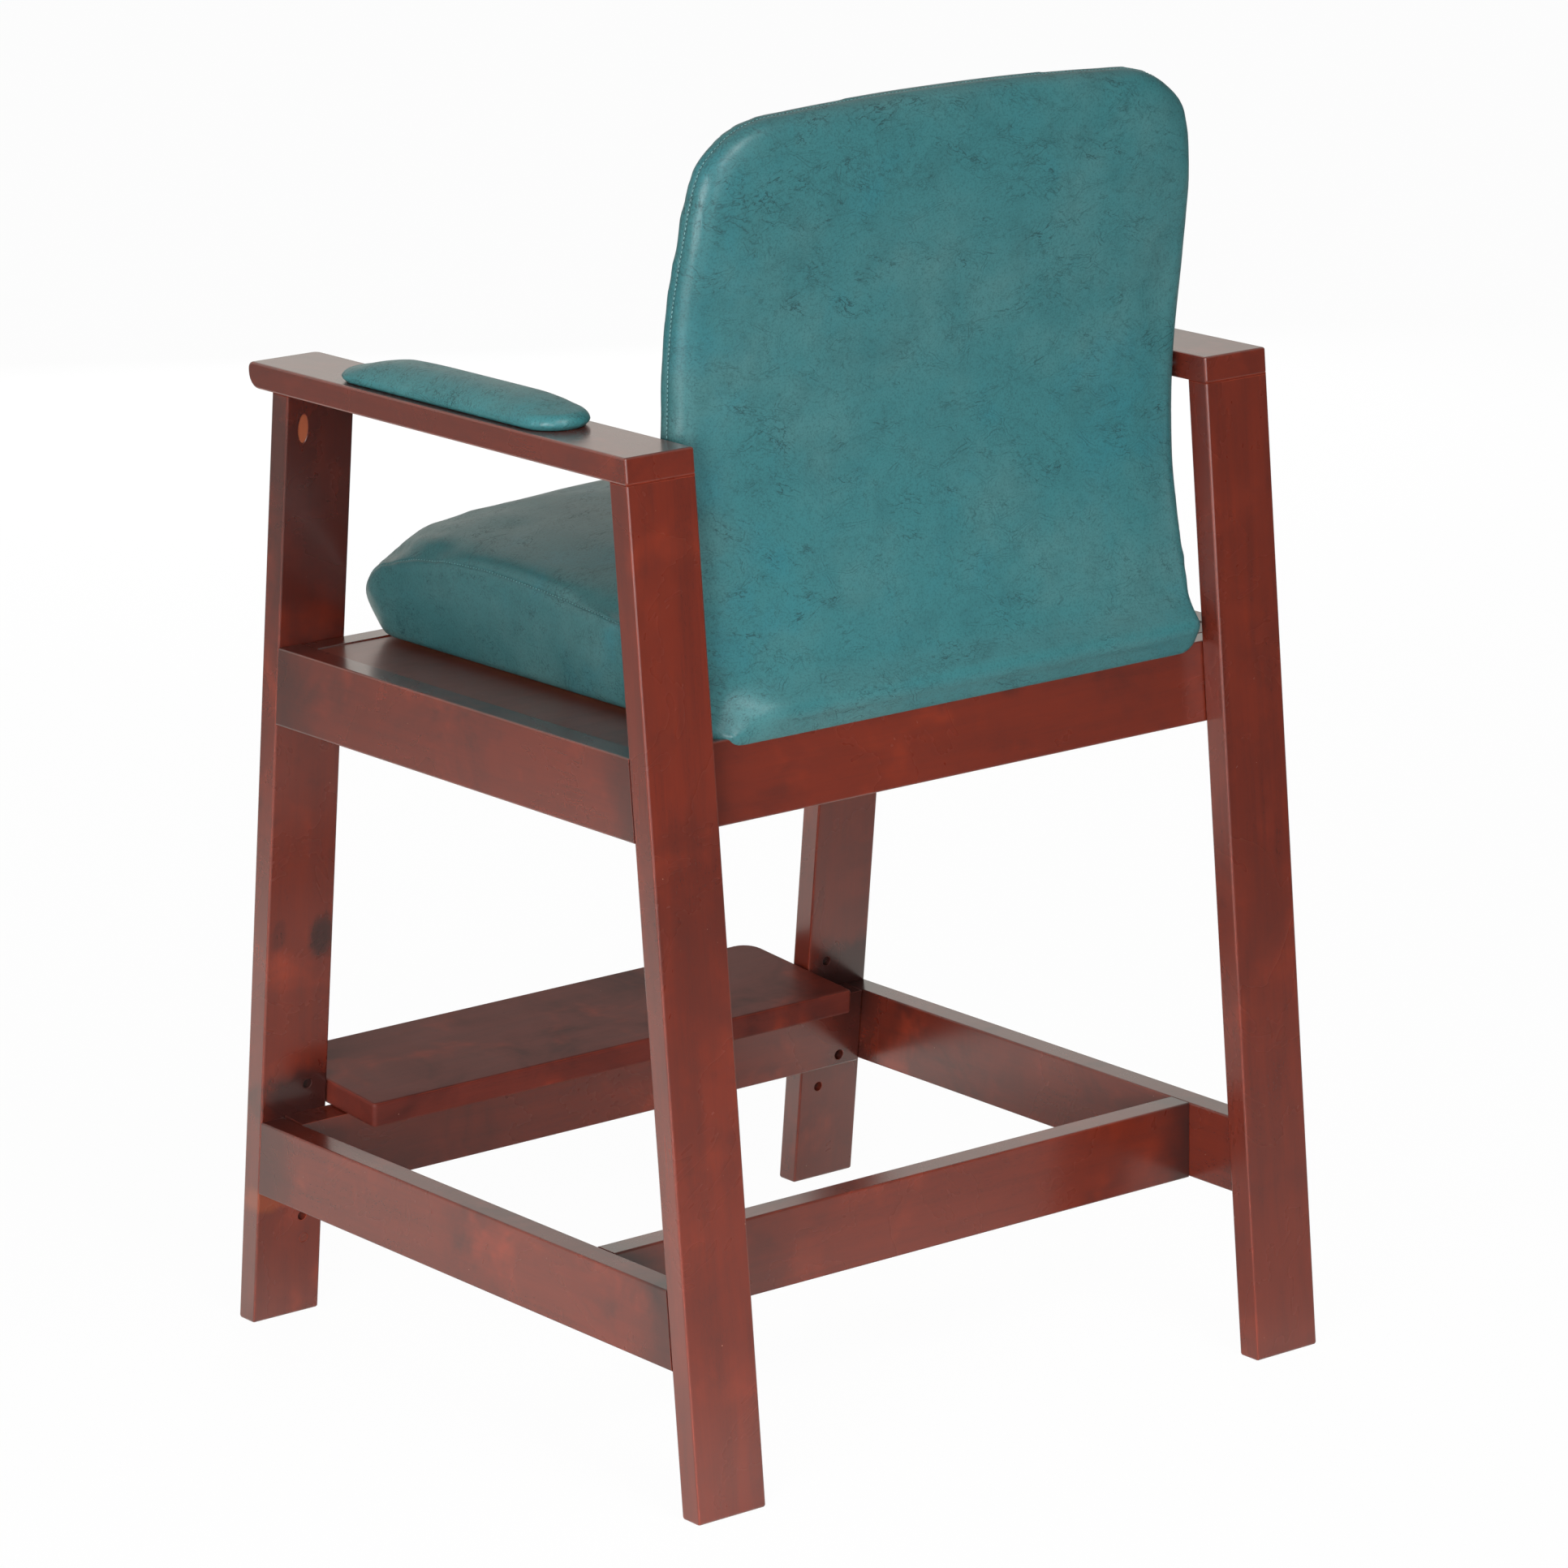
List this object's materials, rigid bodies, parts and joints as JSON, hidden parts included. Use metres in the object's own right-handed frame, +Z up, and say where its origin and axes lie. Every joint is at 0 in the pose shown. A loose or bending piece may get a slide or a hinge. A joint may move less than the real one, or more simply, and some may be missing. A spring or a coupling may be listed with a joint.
{
  "type": "hip chair",
  "caption": "Tall wooden hip chair with a raised padded seat, contoured padded back, padded armrests and a footrest bolted between the front legs.",
  "frame": {"origin": "on the floor, at the middle of the overall width and depth", "axes": "+Z up, -Y the way the sitter faces, +X the sitter's left"},
  "size_m": [0.635, 0.665, 1.0605],
  "materials": {
    "stained_wood": "cherry-brown stain under a satin lacquer",
    "stained_board": "dark stained plywood, satin",
    "teal_vinyl": "vinyl-coated cloth with a fine leather grain, satin",
    "plywood": "plain plywood and softwood, matte",
    "bare_plug": "bare wood, matte",
    "zinc_steel": "zinc plated, satin",
    "brass": "satin"
  },
  "bodies": {
    "chair_frame": {"front_leg_left": "stained_wood", "front_leg_right": "stained_wood", "rear_leg_left": "stained_wood", "rear_leg_right": "stained_wood", "front_leg_hole_plug": "stained_wood", "pocket_plug_left": "bare_plug", "pocket_plug_right": "bare_plug", "pocket_screw_left": "zinc_steel", "pocket_screw_right": "zinc_steel", "seat_side_rail_left": "stained_wood", "seat_side_rail_right": "stained_wood", "side_stretcher_left": "stained_wood", "side_stretcher_right": "stained_wood", "seat_front_rail": "stained_wood", "seat_rear_apron": "stained_wood", "cross_stretcher": "stained_wood", "seat_board": "stained_board", "seat_cleat_front": "plywood", "seat_cleat_rear": "plywood", "seat_cleat_left": "plywood", "seat_cleat_right": "plywood", "seat_cushion_board": "plywood", "seat_cushion": "teal_vinyl", "seat_screw_1": "zinc_steel", "seat_screw_2": "zinc_steel", "seat_screw_3": "zinc_steel", "seat_screw_4": "zinc_steel", "back_board": "plywood", "back_cushion": "teal_vinyl", "back_rear_cover": "teal_vinyl", "back_pin_left": "zinc_steel", "back_pin_right": "zinc_steel", "back_screw_1": "zinc_steel", "back_screw_2": "zinc_steel", "back_screw_3": "zinc_steel", "armrest_left": "stained_wood", "armrest_right": "stained_wood", "arm_pad_board_left": "plywood", "arm_pad_board_right": "plywood", "arm_pad_left": "teal_vinyl", "arm_pad_right": "teal_vinyl", "arm_pad_screw_left_1": "zinc_steel", "arm_pad_screw_left_2": "zinc_steel", "arm_pad_screw_right_1": "zinc_steel", "arm_pad_screw_right_2": "zinc_steel", "footrest_bolt_left": "zinc_steel", "footrest_bolt_right": "zinc_steel", "footrest_washer_left": "zinc_steel", "footrest_washer_right": "zinc_steel"},
    "footrest": {"footrest_rail": "stained_wood", "footrest_tread": "stained_wood", "footrest_insert_left": "brass", "footrest_insert_right": "brass", "tread_screw_1": "zinc_steel", "tread_screw_2": "zinc_steel", "tread_screw_3": "zinc_steel"}
  },
  "joints": [
    {"name": "footrest_slide", "type": "slide", "parent": "chair_frame", "child": "footrest", "axis": [0, 0.9929, -0.1189], "range_m": [0, 0.1]}
  ]
}
